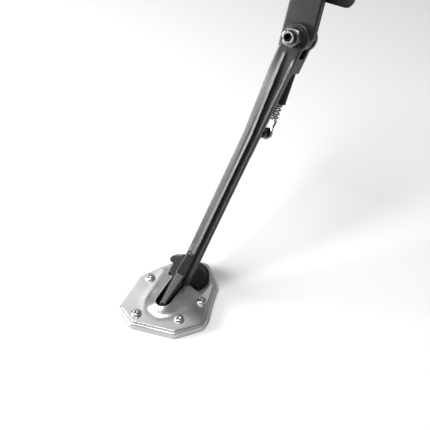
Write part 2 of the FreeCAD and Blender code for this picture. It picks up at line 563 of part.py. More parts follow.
def build_foot():
    """Forged foot pad, formed top plate with a dome and a slot, base plate and four screws."""
    reach_in, reach_out = size("pad_rear"), size("pad_front")
    side, rear_radius = size("pad_half_width"), size("pad_rear_radius")
    floor = -size("sheet_thick")
    rear_centre, front_centre = rear_radius - reach_in, reach_out - side

    def disc(name, radius, height, at_x, at_y, start=floor):
        return placed_cylinder(name, radius, height, Placement(Vector(at_x, at_y, start), Rotation()))

    shift = size("pad_rear_shift")
    bar = box("pad_bar", "2 * pad_half_width", "pad_rear + pad_front - pad_rear_radius - pad_half_width",
              "pad_thick", ("-pad_half_width", "pad_rear_radius - pad_rear", "-sheet_thick"))
    rim_high = "pad_thick + pad_rim"
    rim_outside = disc("rim_outside", "pad_rear_radius", rim_high, shift, rear_centre)
    rim_inside = disc("rim_inside", "pad_rear_radius - pad_rim_wall", rim_high + " + overrun",
                      shift, rear_centre)
    rim_part = doc.addObject("Part::Common", "pad_rim_part")
    rim_part.Base = cut("pad_rim_ring", rim_outside, rim_inside)
    rim_part.Tool = prism("rim_region", RIM_REGION, rim_high, "-sheet_thick")
    pad_solid = fuse("pad_solid", [
        bar, disc("pad_rear_end", "pad_rear_radius", "pad_thick", shift, rear_centre),
        disc("pad_front_end", "pad_half_width", "pad_thick", 0, front_centre), rim_part])
    pad_solid.Placement = FOOT
    node("foot_pad", cut("pad_part", pad_solid, NODES["leg"]))

    plate = prism("plate_flat", TOP_PLATE_CORNERS, "sheet_thick", "-sheet_thick")
    dress_edges(plate, "Fillet", "plate_corner", runs_along(Z_AXIS))
    dome = dome_form("plate_dome", "0")
    cavity = dome_form("plate_cavity", "-dome_drop")
    through = "hump_height + sheet_thick + 2 * overrun"
    below = "-sheet_thick - overrun"
    slot_half = "gusset_width / 2 + slot_side_gap"
    slot_centre = size("gusset_toe") + size("slot_toe_gap") - size("gusset_width") / 2 - size("slot_side_gap")
    slot_bar = box("slot_bar", f"2 * ({slot_half})",
                   f"gusset_toe + slot_toe_gap - ({slot_half}) + 2 * pad_rear", through,
                   (f"-({slot_half})", "-2 * pad_rear", below))
    slot_round = disc("slot_round", slot_half, through, 0, slot_centre, floor - size("overrun"))
    rear_opening = prism("rear_opening", REAR_OPENING, through, below)
    holes = []
    for number, (across, out) in enumerate(SCREW_PLACES, start=1):
        holes.append(disc(f"plate_hole_{number}", "screw_radius + screw_gap", "sheet_thick + 2 * overrun",
                          across, out, floor - size("overrun")))
    shell = cut("plate_shell", fuse("plate_solid", [plate, dome]), cavity)
    node("top_plate", cut("top_plate_part", shell,
                          fuse("plate_tools", [slot_bar, slot_round, rear_opening] + holes)), FOOT)

    margin = size("base_margin")
    outline = inset(TOP_PLATE_CORNERS[:7] + BASE_REAR_CORNERS + TOP_PLATE_CORNERS[7:], -margin)
    slab = prism("base_slab", outline, "base_thick", "-sheet_thick - base_thick")
    dress_edges(slab, "Fillet", "plate_corner", runs_along(Z_AXIS))
    dress_edges(slab, "Chamfer", "base_edge",
                lambda edge: abs(edge.BoundBox.ZMin - floor) < 1e-6)
    taps = []
    for number, (across, out) in enumerate(SCREW_PLACES, start=1):
        taps.append(disc(f"base_tap_{number}", "screw_radius", "screw_length + tap_spare", across, out,
                         -size("screw_length") - size("tap_spare")))
    node("base_plate", cut("base_plate_part", slab, fuse("base_tools", taps)), FOOT)

    screws = []
    for number, (across, out) in enumerate(SCREW_PLACES, start=1):
        shank = cylinder(f"screw_shank_{number}", "screw_radius", "screw_length", "-screw_length")
        head = cylinder(f"screw_head_{number}", "screw_head_radius", "screw_head_height")
        doc.recompute()
        crown = doc.addObject("Part::Fillet", f"screw_crown_{number}")
        crown.Base = head
        top = next(i for i, edge in enumerate(head.Shape.Edges, start=1)
                   if edge.isClosed() and abs(edge.Vertexes[0].Z - size("screw_head_height")) < 1e-6)
        crown.Edges = [(top, size("screw_crown"), size("screw_crown"))]
        drive = hexagon(f"screw_drive_{number}", "screw_socket_width", "screw_socket_depth + overrun",
                        "screw_head_height - screw_socket_depth")
        screw = cut(f"screw_{number}", fuse(f"screw_solid_{number}", [shank, crown]), drive)
        screw.Placement = Placement(Vector(across, out, 0), Rotation())
        screws.append(screw)
    group = doc.addObject("Part::Compound", "screw_group")
    group.Links = screws
    node("foot_screws", group, FOOT)


def dome_form(name, start):
    """The dome's outside, or its inside from a lower start: a loft from its foot to its crest."""
    body = new_body(name)
    foot = polygon_sketch(body, name + "_foot", "XY_Plane", DOME_CORNERS, start)
    crest = polygon_sketch(body, name + "_crest", "XY_Plane", DOME_TOP_CORNERS, f"{start} + hump_height")
    ruled_loft(body, [foot, crest])
    return body


def spring_frame():
    """Spring frame: origin on the spring axis at the lower post, z towards the upper post."""
    low = LEG.multVec(Vector(size("lower_post_shift"), size("lower_spring_plane"), -size("lower_post_drop")))
    high = PIVOT.multVec(Vector(UPPER_POST_X, size("upper_spring_plane"), UPPER_POST_Z))
    along = (high - low).normalize()
    axis = LEG.Rotation.multVec(Y_AXIS)
    across = (axis - along * axis.dot(along)).normalize()
    turn = Rotation(across.cross(along), across, along, "ZYX")
    return Placement(low, turn), (high - low).Length


def coil_spring(radius, wire, pitch, span, side, recess):
    """A coil on z with a straight hook shank and an eye round the post at each end."""
    start = size("lower_hook_length") + recess
    stop = span - size("upper_hook_length") - recess
    eye = size("post_radius") + size("hook_gap") + wire / 2
    turns = round((stop - start) / pitch)
    helix = Part.makeHelix((stop - start) / turns, stop - start, radius)
    helix.translate(Vector(0, 0, start))
    first = helix.Edges[0].valueAt(helix.Edges[0].FirstParameter)
    slope = helix.Edges[0].tangentAt(helix.Edges[0].FirstParameter)
    section = Part.Wire(Part.makeCircle(wire / 2, first, slope))
    solids = [Part.Wire(helix.Edges).makePipeShell([section], True, True)]
    for near, far, level in ((0, start, -1), (span, stop, 1)):
        post = Vector(0, side, near)
        shank_from = eye if level < 0 else -eye
        solids.append(Part.makeTorus(eye, wire / 2, post, Y_AXIS))
        base = Vector(0, side, near + shank_from)
        tip = Vector(0, side, far)
        solids.append(Part.makeCylinder(wire / 2, (tip - base).Length, base, tip - base))
        end = helix.Edges[-1].valueAt(helix.Edges[-1].LastParameter) if level > 0 else first
        solids.append(Part.makeCylinder(wire / 2, (end - tip).Length, tip, end - tip))
        solids.append(Part.makeSphere(wire / 2, tip))
        solids.append(Part.makeSphere(wire / 2, end))
    return solids[0].multiFuse(solids[1:])


def build_springs():
    """Two nested springs, their rubber sleeve, and the two posts with washers and circlips."""
    where, span = spring_frame()
    spread = size("hook_spread")
    for label, radius, wire, pitch, side, recess in (
            ("outer_spring", "outer_coil_radius", "outer_wire", "outer_pitch", spread / 2, 0),
            ("inner_spring", "inner_coil_radius", "inner_wire", "inner_pitch", -spread / 2,
             size("inner_coil_recess"))):
        feature = doc.addObject("Part::Feature", label)
        feature.Shape = coil_spring(size(radius), size(wire), size(pitch), span, side, recess)
        node(label, feature, where)
    inside = "outer_coil_radius + outer_wire / 2 + sleeve_bore_gap"
    node("spring_sleeve", washer("sleeve", inside + " + sleeve_wall", inside, "sleeve_length"),
         where * Placement(Vector(0, 0, size("sleeve_start")), Rotation()))

    seat_up = -size("tongue_thick") / 2
    tip_up = size("upper_spring_plane") - size("post_beyond")
    seat_low = lower_seat()
    tip_low = size("lower_spring_plane") - size("post_beyond")
    for label, frame, place, seat, tip in (
            ("upper", PIVOT, (UPPER_POST_X, UPPER_POST_Z), seat_up, tip_up),
            ("lower", LEG, (size("lower_post_shift"), -size("lower_post_drop")), seat_low, tip_low)):
        length = seat - tip
        inward = Rotation(X_AXIS, 90)
        where_post = frame * Placement(Vector(place[0], seat, place[1]), inward)
        shank = cylinder(label + "_stud_shank", "post_shank_radius", "post_shank_length",
                         "-post_shank_length")
        stud = fuse(label + "_stud", [cylinder(label + "_stud_body", "post_radius", str(length)), shank])
        clip_at = length - size("clip_inset") - size("clip_thick")
        groove = washer(label + "_groove", "post_radius + overrun", "post_radius - clip_groove", "clip_thick")
        groove.Placement = Placement(Vector(0, 0, clip_at), Rotation())
        node(label + "_spring_post", cut(label + "_post", stud, groove), where_post)
        clip = washer(label + "_clip_ring", "clip_radius", "post_radius - clip_groove", "clip_thick")
        node(label + "_circlip", clip, where_post * Placement(Vector(0, 0, clip_at), Rotation()))
        disc = washer(label + "_post_disc", "clip_radius", "post_radius", "post_washer_thick")
        node(label + "_post_washer", disc,
             where_post * Placement(Vector(0, 0, clip_at - size("post_washer_thick")), Rotation()))


build_bracket()
build_joint()
build_leg()
build_foot()
build_springs()
doc.recompute()

for piece in doc.Objects:
    if "Invalid" in piece.State or "Error" in piece.State:
        raise RuntimeError(f"{piece.Name} failed: {piece.State}")
os.makedirs("parts", exist_ok=True)
for label, piece in NODES.items():
    shape = piece.Shape
    if shape.isNull() or not shape.isValid() or not shape.Solids:
        raise RuntimeError(f"{label} is not a valid solid")
for label, piece in NODES.items():
    piece.Shape.exportStep(f"parts/{label}.step")
    bounds = piece.Shape.BoundBox
    print(f"{label}: {len(piece.Shape.Solids)} solid, {piece.Shape.Volume / 1000:.2f} cm3,",
          f"{bounds.XLength:.1f} x {bounds.YLength:.1f} x {bounds.ZLength:.1f} mm")
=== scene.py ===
# %% [markdown]
# # A motorcycle side stand
#
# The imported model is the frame: it gives the pivot, the bodies and the shapes of the big parts.
# This script dresses it. The fasteners, posts, springs and sleeve are rebuilt as a shop would make
# them, from sizes that are named here and match the model's. The forged and pressed parts and the
# base plate start from their nodes and get the soft edges of the process.
# Lengths are in millimetres while a piece is built, and in metres once it is in place.

# %% Load the frame
import json
import math

import bmesh
import bpy
from mathutils import Matrix, Vector


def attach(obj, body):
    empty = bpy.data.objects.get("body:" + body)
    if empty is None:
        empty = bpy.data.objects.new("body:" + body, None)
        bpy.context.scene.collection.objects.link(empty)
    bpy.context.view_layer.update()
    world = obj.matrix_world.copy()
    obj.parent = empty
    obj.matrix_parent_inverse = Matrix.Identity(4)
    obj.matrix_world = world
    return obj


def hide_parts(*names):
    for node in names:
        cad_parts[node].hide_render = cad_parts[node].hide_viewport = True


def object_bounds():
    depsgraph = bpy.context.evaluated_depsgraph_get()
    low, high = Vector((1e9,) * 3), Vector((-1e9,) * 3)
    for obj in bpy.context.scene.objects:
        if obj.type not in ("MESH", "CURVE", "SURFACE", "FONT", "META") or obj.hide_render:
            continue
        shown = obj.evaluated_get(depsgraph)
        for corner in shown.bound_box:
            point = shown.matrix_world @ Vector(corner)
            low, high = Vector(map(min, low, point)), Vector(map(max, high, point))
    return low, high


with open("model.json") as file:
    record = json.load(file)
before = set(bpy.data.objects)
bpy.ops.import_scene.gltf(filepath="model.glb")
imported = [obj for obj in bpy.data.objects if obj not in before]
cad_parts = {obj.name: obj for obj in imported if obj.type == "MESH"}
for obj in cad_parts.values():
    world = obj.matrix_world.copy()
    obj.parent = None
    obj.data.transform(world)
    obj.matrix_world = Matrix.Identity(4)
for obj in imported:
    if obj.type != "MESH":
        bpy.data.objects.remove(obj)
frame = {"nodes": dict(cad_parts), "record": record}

CAD_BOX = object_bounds()
NODES = frame["nodes"]
JOINTS = {joint["name"]: joint for joint in frame["record"]["behaviour"]["joints"]}
print("nodes:", len(NODES), "box:", CAD_BOX)

# %% [markdown]
# ## Frames
# The pivot axis is tilted 25 degrees from level. The pivot frame has y along the bolt. The leg
# frame is the pivot frame turned 12 degrees about the bolt, the rake of the leg. The foot frame
# lies flat, turned 8 degrees. A model could instead be drawn straight in world coordinates, but
# then no number would look like one on a workshop drawing.

# %% Pivot, leg and foot frames
MM = 0.001
AXIS_TILT, LEG_RAKE, FOOT_TURN = 25, -12, 8
LEG_LENGTH = 348
FOOT_SHIFT, FOOT_OFFSET = 3, 5


def turned(degrees, axis):
    return Matrix.Rotation(math.radians(degrees), 4, axis)


def spot(place, *position):
    """A point given in mm in a frame, in metres in the row frame."""
    return place @ (Vector(position) * MM)


PIVOT = Matrix.Translation(JOINTS["stand_pivot"]["pos_m"]) @ turned(AXIS_TILT, "X")
LEG = PIVOT @ turned(LEG_RAKE, "Y")
FOOT = Matrix.Translation(spot(LEG, FOOT_SHIFT, FOOT_OFFSET, -LEG_LENGTH)) @ turned(FOOT_TURN, "Z")
BOLT = PIVOT @ turned(-90, "X")
print("foot at", [round(value, 4) for value in FOOT.translation])

# %% [markdown]
# The springs hang between two posts, one on the leg and one on the bracket, so their frame is
# worked out from the posts: its origin on the lower one and its z towards the upper one.

# %% Spring frame
LOWER_POST = (-3.5, -123)
UPPER_POST = (13.5, 16.1)
LOWER_HOOK_OUT, UPPER_HOOK_OUT = -24, -32
SPRING_LOW = spot(LEG, LOWER_POST[0], LOWER_HOOK_OUT, LOWER_POST[1])
SPRING_HIGH = spot(PIVOT, UPPER_POST[0], UPPER_HOOK_OUT, UPPER_POST[1])
SPAN = (SPRING_HIGH - SPRING_LOW).length / MM
ALONG = (SPRING_HIGH - SPRING_LOW).normalized()
PIVOT_AXIS = LEG.to_3x3() @ Vector((0, 1, 0))
ACROSS = (PIVOT_AXIS - ALONG * PIVOT_AXIS.dot(ALONG)).normalized()
SPRING = Matrix((ACROSS.cross(ALONG), ACROSS, ALONG)).transposed().to_4x4()
SPRING.translation = SPRING_LOW
print("spring span", round(SPAN, 1), "mm")

# %% [markdown]
# ## Finishes
# Every finish is a metal, enamel or rubber surface with three scales of unevenness: broad
# patches of handling and dust, a fine grain that breaks up the highlights, and a lighter colour
# where an edge stands proud, part wear and part painted highlight. A picture could be wrapped
# round each piece instead, but noise in the piece's own coordinates has no seams and keeps its
# real size on any shape.

# %% A range between two nodes
NOISE_LOW, NOISE_HIGH = 0.3, 0.7


def ranged(tree, source, to_low, to_high, low=NOISE_LOW, high=NOISE_HIGH):
    """The source's values from low to high, stretched to another range."""
    step = tree.nodes.new("ShaderNodeMapRange")
    step.inputs["From Min"].default_value = low
    step.inputs["From Max"].default_value = high
    step.inputs["To Min"].default_value = to_low
    step.inputs["To Max"].default_value = to_high
    tree.links.new(source, step.inputs["Value"])
    return step.outputs["Result"]


print("noise is used from", NOISE_LOW, "to", NOISE_HIGH)

# %% [markdown]
# The grain drives a bump, the patches drive roughness and a slight change of shade, and the
# pointiness of the mesh, times the patches, brings a lighter colour out along proud edges, part
# wear and part painted highlight.

# %% Finish maker
PATCH, PATCH_DETAIL, GRAIN_DETAIL = 0.03, 5, 4
EDGE_STARTS, EDGE_FULL = 0.56, 0.7


def noise(tree, source, feature, detail):
    """Noise with features of that size in metres."""
    step = tree.nodes.new("ShaderNodeTexNoise")
    step.inputs["Scale"].default_value = 1 / feature
    step.inputs["Detail"].default_value = detail
    tree.links.new(source, step.inputs["Vector"])
    return step.outputs["Fac"]


# The colour for proud edges is part wear and part painted highlight.
def finish(name, colour, worn_and_highlit, metallic, roughness, grain, depth, stretch=(1, 1, 1), tint=0.08,
           specular=0.5, turn=0.0):
    """A finish; grain and the bump's depth are in metres, and turn is in radians."""
    material = bpy.data.materials.new(name)
    material.use_nodes = True
    tree = material.node_tree
    shader = tree.nodes["Principled BSDF"]
    shader.inputs["Metallic"].default_value = metallic
    shader.inputs["Specular IOR Level"].default_value = specular

    where = tree.nodes.new("ShaderNodeTexCoord").outputs["Object"]
    mapping = tree.nodes.new("ShaderNodeMapping")
    mapping.inputs["Scale"].default_value = stretch
    mapping.inputs["Rotation"].default_value = (0, 0, turn)
    tree.links.new(where, mapping.inputs["Vector"])
    fine = noise(tree, mapping.outputs["Vector"], grain, GRAIN_DETAIL)
    broad = noise(tree, where, PATCH, PATCH_DETAIL)

    bump = tree.nodes.new("ShaderNodeBump")
    bump.inputs["Strength"].default_value = 1.0
    bump.inputs["Distance"].default_value = depth
    tree.links.new(fine, bump.inputs["Height"])
    tree.links.new(bump.outputs["Normal"], shader.inputs["Normal"])
    tree.links.new(ranged(tree, broad, *roughness), shader.inputs["Roughness"])

    base = tree.nodes.new("ShaderNodeVectorMath")
    base.operation = "SCALE"
    base.inputs[0].default_value = colour
    tree.links.new(ranged(tree, broad, 1 - tint, 1 + tint), base.inputs["Scale"])

    # Proud edges are painted lighter: part wear, part painted highlight.
    shape = tree.nodes.new("ShaderNodeNewGeometry")
    proud = ranged(tree, shape.outputs["Pointiness"], 0, 1, EDGE_STARTS, EDGE_FULL)
    wear_and_highlight = tree.nodes.new("ShaderNodeMath")
    wear_and_highlight.operation = "MULTIPLY"
    tree.links.new(proud, wear_and_highlight.inputs[0])
    tree.links.new(broad, wear_and_highlight.inputs[1])

    mix = tree.nodes.new("ShaderNodeMix")
    mix.data_type = "RGBA"
    colour_before, colour_after, mixed = mix.inputs[6], mix.inputs[7], mix.outputs[2]
    tree.links.new(wear_and_highlight.outputs["Value"], mix.inputs["Factor"])
    tree.links.new(base.outputs["Vector"], colour_before)
    colour_after.default_value = (*worn_and_highlit, 1)
    tree.links.new(mixed, shader.inputs["Base Color"])
    return material


print("patches of", PATCH / MM, "mm")

# %% [markdown]
# The forgings wear black enamel with an orange peel of one or two millimetres. The foot pad's
# enamel is duller than the others' and painted darker, a painted shade for its dark hollow. The
# sleeve is matte rubber.

# %% Enamel and rubber
ENAMEL = finish("black_enamel", (0.010, 0.010, 0.0105), (0.06, 0.06, 0.065), 0.0,
                roughness=(0.3, 0.4), grain=0.0016, depth=0.00002, specular=0.3)
# The foot pad's enamel is painted darker, as painted shade for its hollow.
DULL_SHADED_ENAMEL = finish("dull_enamel_painted_shade", (0.006, 0.006, 0.0062), (0.03, 0.03, 0.03), 0.0,
                     roughness=(0.5, 0.65), grain=0.0012, depth=0.00003, specular=0.12)
RUBBER = finish("sleeve_rubber", (0.012, 0.012, 0.013), (0.03, 0.03, 0.03), 0.0,
                roughness=(0.5, 0.65), grain=0.0008, depth=0.00002, specular=0.2)
print("enamel and rubber:", len(bpy.data.materials))

# %% [markdown]
# The top plate's brush lines are a quarter of a millimetre across and about twelve long, made by
# stretching the grain along one direction. The base plate's grain is a third of a millimetre,
# flattened into thin short lines round its rim, where the side of the cutter passed.

# %% Plate metals
STAINLESS = finish("brushed_stainless", (0.5, 0.5, 0.505), (0.62, 0.62, 0.63), 1.0,
                   roughness=(0.3, 0.4), grain=0.00025, depth=0.000012, stretch=(1, 0.02, 1),
                   turn=0.6, tint=0.03)
ALUMINIUM = finish("machined_aluminium", (0.44, 0.44, 0.445), (0.75, 0.75, 0.75), 0.9,
                   roughness=(0.3, 0.4), grain=0.0003, depth=0.000008, stretch=(1, 1, 8),
                   tint=0.02)
print("plate metals made")

# %% [markdown]
# Screws are bright. The washer under the bolt's head is dulled zinc, and the nut, the other
# washers and the posts are dark zinc. The bolt is one plated piece painted in two shades: its end
# ring takes the paler zinc as a painted highlight, and the rest of it the dark zinc as painted
# shade. The springs and the circlips are bare steel, greyed by use. The bush and the thrust
# washers are oiled bronze.

# %% Fastener, wire and bush metals
SCREW = finish("screw_stainless", (0.5, 0.5, 0.51), (0.8, 0.8, 0.8), 1.0,
               roughness=(0.16, 0.26), grain=0.0006, depth=0.000005, tint=0.03)
ZINC_AND_RING_HIGHLIGHT = finish("zinc_plate_and_ring_highlight", (0.3, 0.3, 0.295), (0.5, 0.5, 0.49), 1.0,
              roughness=(0.22, 0.34), grain=0.0008, depth=0.000008, tint=0.06)
DARK_ZINC = finish("dark_zinc", (0.035, 0.035, 0.036), (0.2, 0.2, 0.2), 0.9,
                   roughness=(0.3, 0.42), grain=0.0008, depth=0.000008, tint=0.1)
WIRE = finish("spring_wire", (0.3, 0.3, 0.31), (0.45, 0.45, 0.45), 0.9,
              roughness=(0.22, 0.34), grain=0.0006, depth=0.000008)
BRONZE = finish("bush_bronze", (0.5, 0.34, 0.17), (0.6, 0.45, 0.25), 1.0,
                roughness=(0.3, 0.45), grain=0.0006, depth=0.00001)
print("finishes:", len(bpy.data.materials))

# %% [markdown]
# ## From a form to a piece
# Every piece ends the same way: its form is moved from millimetres to its place, shaded smooth
# with hard creases kept, given its finish, and tied to its CAD body. The mesh is moved rather
# than the object, so the object stays at the origin.

# %% Placing a piece
def placed(place):
    """The matrix that takes a form from mm in a frame to metres in the row frame."""
    return place @ Matrix.Scale(MM, 4)


def piece(name, form, place, body, slot, material, *nodes, crease=35):
    """Put a form built in mm at its place and make it stand for its CAD nodes."""
    bmesh.ops.transform(form, matrix=placed(place), verts=form.verts[:])
    mesh = bpy.data.meshes.new(name)
    form.to_mesh(mesh)
    form.free()
    mesh.shade_smooth()
    mesh.set_sharp_from_angle(angle=math.radians(crease))
    mesh.materials.append(material)
    thing = bpy.data.objects.new(name, mesh)
    bpy.context.collection.objects.link(thing)
    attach(thing, body)
    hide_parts(*nodes)
    triangles = sum(len(face.vertices) - 2 for face in mesh.polygons)
    print(f"{name}: {len(mesh.vertices)} vertices, {triangles} triangles")
    return thing


def node_form(node, place):
    """A copy of a node's mesh in mm in a frame, with its doubled points merged."""
    form = bmesh.new()
    form.from_mesh(NODES[node].data)
    bmesh.ops.remove_doubles(form, verts=form.verts[:], dist=1e-6)
    bmesh.ops.transform(form, matrix=placed(place).inverted(), verts=form.verts[:])
    return form


print("pieces are built in mm and placed with a scale of", MM)

# %% [markdown]
# ## Forgings
# The leg, the bracket, the foot pad and the kick tang are hot forged. A die can't press a sharp
# corner, so every edge carries a radius of about a millimetre and every inner corner a fillet.
# Bevelling each edge is one way, but bevels break where several meet. Here the node is recast as
# an even skin of small faces and relaxed a few times, which rounds all corners alike.

# %% Recasting and relaxing
WHOLE_FORM = 180


def worked(form, set_modifier):
    """The form after one modifier, read back as a new form."""
    mesh = bpy.data.meshes.new("blank")
    form.to_mesh(mesh)
    form.free()
    blank = bpy.data.objects.new("blank", mesh)
    bpy.context.collection.objects.link(blank)
    set_modifier(blank)
    bpy.context.view_layer.update()
    ready = blank.evaluated_get(bpy.context.evaluated_depsgraph_get())
    result = bmesh.new()
    result.from_mesh(ready.to_mesh())
    ready.to_mesh_clear()
    bpy.data.objects.remove(blank)
    bpy.data.meshes.remove(mesh)
    return result


def relax(form, verts, passes):
    """Move points halfway to the middle of their neighbours, several times."""
    for _ in range(passes):
        bmesh.ops.smooth_vert(form, verts=verts, factor=0.5, use_axis_x=True, use_axis_y=True,
                              use_axis_z=True)


def forged(node, place, cell, passes):
    """A node recast as an even skin in the given frame, relaxed so that its edges are round."""
    def recast(blank):
        step = blank.modifiers.new("skin", "REMESH")
        step.mode = "VOXEL"
        step.voxel_size = cell
    form = worked(node_form(node, place), recast)
    relax(form, form.verts[:], passes)
    return form


print("forgings are shaded whole, with a crease angle of", WHOLE_FORM)

# %% [markdown]
# The leg's front land leans away from its ridge by the die's draft angle, about seven degrees.
# Without it the land would be parallel to the recess beside it, and both would catch the light
# alike. The ridge drifts across the leg on its way down, and the draft fades out at both ends.

# %% Draft of the leg's front land
DRAFT = math.tan(math.radians(7))
RIDGE_LOW, RIDGE_RISE, RIDGE_SPAN = -4, 6.2, 280
RIDGE_CLEAR = 1.5
LAND_OUT, LAND_FADE = 7, 3
DRAFT_TOP, DRAFT_EASE = -24, 30
DRAFT_BOTTOM, BOTTOM_EASE = 320, 40
leg = forged("leg", LEG, 0.95, 5)
deepest = 0
for vert in leg.verts:
    across, out, down = vert.co
    if out <= LAND_OUT or down >= DRAFT_TOP:
        continue
    ridge = RIDGE_LOW + RIDGE_RISE * min(max((down + DRAFT_BOTTOM) / RIDGE_SPAN, 0), 1)
    ease = min((DRAFT_TOP - down) / DRAFT_EASE, 1)
    ease *= min(max((DRAFT_BOTTOM + down) / BOTTOM_EASE, 0), 1)
    drop = DRAFT * ease * max(across - ridge - RIDGE_CLEAR, 0) * min((out - LAND_OUT) / LAND_FADE, 1)
    vert.co.y -= drop
    deepest = max(deepest, drop)
print(f"deepest draft {deepest:.2f} mm")

# %% [markdown]
# The crest of the gusset, low on the leg, is rounder than the leg's other edges. More passes for
# the whole leg would thin it everywhere, so only the points of the crest get them.

# %% Crest of the gusset, and the leg
CREST_LOW, CREST_HIGH, CREST_OUT = -304, -276, 11
crest = [vert for vert in leg.verts
         if CREST_LOW < vert.co.z < CREST_HIGH and vert.co.y > CREST_OUT]
relax(leg, crest, 14)
print("crest of the gusset:", len(crest), "vertices relaxed")
piece("leg_forging", leg, LEG, "stand", "black_enamel", ENAMEL, "leg", crease=WHOLE_FORM)

# %% [markdown]
# The bracket bolts to the frame, the foot pad is the leg's own small foot, and the kick tang is
# the lug that the boot pushes. The smaller the piece, the finer the cells of its skin.

# %% Bracket, foot pad and kick tang
for name, node, place, body, cell, material in (
        ("bracket_forging", "bracket", PIVOT, "bracket", 0.9, ENAMEL),
        # The foot pad takes the darker enamel, a painted shade.
        ("foot_pad_forging", "foot_pad", FOOT, "stand", 0.6, DULL_SHADED_ENAMEL),
        ("kick_tang_forging", "kick_tang", LEG, "stand", 0.5, ENAMEL)):
    piece(name, forged(node, place, cell, 4), place, body, "black_enamel", material, node,
          crease=WHOLE_FORM)

# %% [markdown]
# ## Top plate
# The top plate is 2 mm stainless sheet, cut and then pressed over the foot pad, so its bends
# flow and its cut edges stay crisp. The bends are relaxed many times, and the rows of faces next
# to a cut edge only a few. A subdivided cage would do as well, but needs every bend laid out.

# %% Pressed top plate
CUT_FACE = 0.4
ROWS_KEPT = 4
sheet = forged("top_plate", FOOT, 0.6, 5)
near_cut = {vert for vert in sheet.verts if abs(vert.normal.z) < CUT_FACE}
for _ in range(ROWS_KEPT):
    near_cut |= {edge.other_vert(vert) for vert in near_cut for edge in vert.link_edges}
relax(sheet, [vert for vert in sheet.verts if vert not in near_cut], 220)
piece("pressed_top_plate", sheet, FOOT, "stand", "brushed_stainless", STAINLESS, "top_plate",
      crease=WHOLE_FORM)

# %% [markdown]
# ## Base plate
# The base plate is milled aluminium, with its sharp edges broken with a fine file. Its node has
# the right shape already, so a copy keeps it: flat faces are joined up again, and each edge
# sharper than a set angle gets a narrow bevel.

# %% Milled base plate
def soften(form, width, segments=2, angle=30):
    """Round every edge sharper than the angle."""
    sharp = [edge for edge in form.edges
             if len(edge.link_faces) == 2 and edge.calc_face_angle(0) > math.radians(angle)]
    bmesh.ops.bevel(form, geom=sharp, offset=width, offset_type="OFFSET", segments=segments,
                    profile=0.5, affect="EDGES", material=-1, clamp_overlap=True)
    return form


slab = node_form("base_plate", FOOT)
bmesh.ops.dissolve_limit(slab, angle_limit=math.radians(1), verts=slab.verts[:], edges=slab.edges[:])
bmesh.ops.recalc_face_normals(slab, faces=slab.faces[:])
soften(slab, 0.35, segments=3, angle=25)
piece("milled_base_plate", slab, FOOT, "stand", "machined_aluminium", ALUMINIUM, "base_plate",
      crease=30)

# %% [markdown]
# ## Turning and carving
# The bolt and the studs are turned on a lathe, and the screws, washers and sleeve are as round as
# if they were. Stacked cylinders would leave the steps of each corner to be joined. Half an
# outline spun round the axis gives them all in one go.

# %% Lathe
WELD = 1e-5


def spun(outline, closed=False, steps=96, angle=math.tau):
    """A turned form from (radius, height) points, along z."""
    form = bmesh.new()
    points = [form.verts.new((radius, 0, height)) for radius, height in outline]
    pairs = list(zip(points, points[1:]))
    if closed:
        pairs.append((points[-1], points[0]))
    edges = [form.edges.new(pair) for pair in pairs]
    bmesh.ops.spin(form, geom=points + edges, cent=(0, 0, 0), axis=(0, 0, 1), angle=angle,
                   steps=steps, use_merge=angle == math.tau)
    bmesh.ops.remove_doubles(form, verts=form.verts[:], dist=WELD)
    bmesh.ops.recalc_face_normals(form, faces=form.faces[:])
    return form


print("points closer than", WELD, "mm are welded")

# %% [markdown]
# The nut, the bolt's head and the tool for the screws' sockets all come from hexagonal bar: a
# circle of six sides, raised to its height.

# %% Hexagonal bar
def hexagon(across, height, start):
    """A hexagonal prism along z, given across its flats."""
    form = bmesh.new()
    bmesh.ops.create_circle(form, cap_ends=True, segments=6, radius=across / math.sqrt(3))
    bmesh.ops.translate(form, verts=form.verts[:], vec=(0, 0, start))
    raised = bmesh.ops.extrude_face_region(form, geom=form.faces[:])
    top = [item for item in raised["geom"] if isinstance(item, bmesh.types.BMVert)]
    bmesh.ops.translate(form, verts=top, vec=(0, 0, height))
    bmesh.ops.recalc_face_normals(form, faces=form.faces[:])
    return form


print("a bar of 20 mm across its flats is", round(40 / math.sqrt(3), 2), "mm across its corners")

# %% [markdown]
# A socket is cut away, and a nut's cone keeps only what it shares with the bar. Both are one
# boolean, worked out once and read back, so nothing is left live on the piece.

# %% Boolean
def carved(form, tool, operation="DIFFERENCE"):
    """The form with the tool cut away, or only what both share."""
    mesh = bpy.data.meshes.new("tool")
    tool.to_mesh(mesh)
    tool.free()
    cutter = bpy.data.objects.new("tool", mesh)
    bpy.context.collection.objects.link(cutter)

    def cut(blank):
        step = blank.modifiers.new("cut", "BOOLEAN")
        step.object = cutter
        step.operation = operation
        step.solver = "EXACT"
    result = worked(form, cut)
    bpy.data.objects.remove(cutter)
    bpy.data.meshes.remove(mesh)
    return result


print("meshes before any boolean:", len(bpy.data.meshes))

# %% [markdown]
# The four screws are one piece, and so are the bolt's shank and head. Their forms are put into
# one mesh and not fused, as a boolean between them would take time and show nothing new.

# %% Joining
def joined(*forms):
    """Several forms as one."""
    whole = bmesh.new()
    for form in forms:
        mesh = bpy.data.meshes.new("part")
        form.to_mesh(mesh)
        form.free()
        whole.from_mesh(mesh)
        bpy.data.meshes.remove(mesh)
    return whole


print("joined forms stay separate shells of one mesh")

# %% [markdown]
# ## Foot screws
# M8 button-head screws are cold headed: a domed head with a hexagon pressed into it. The dome is
# a spun arc. Each screw stopped at its own angle when it was tightened, so the sockets don't all
# line up. The four are one piece, as they are one node.

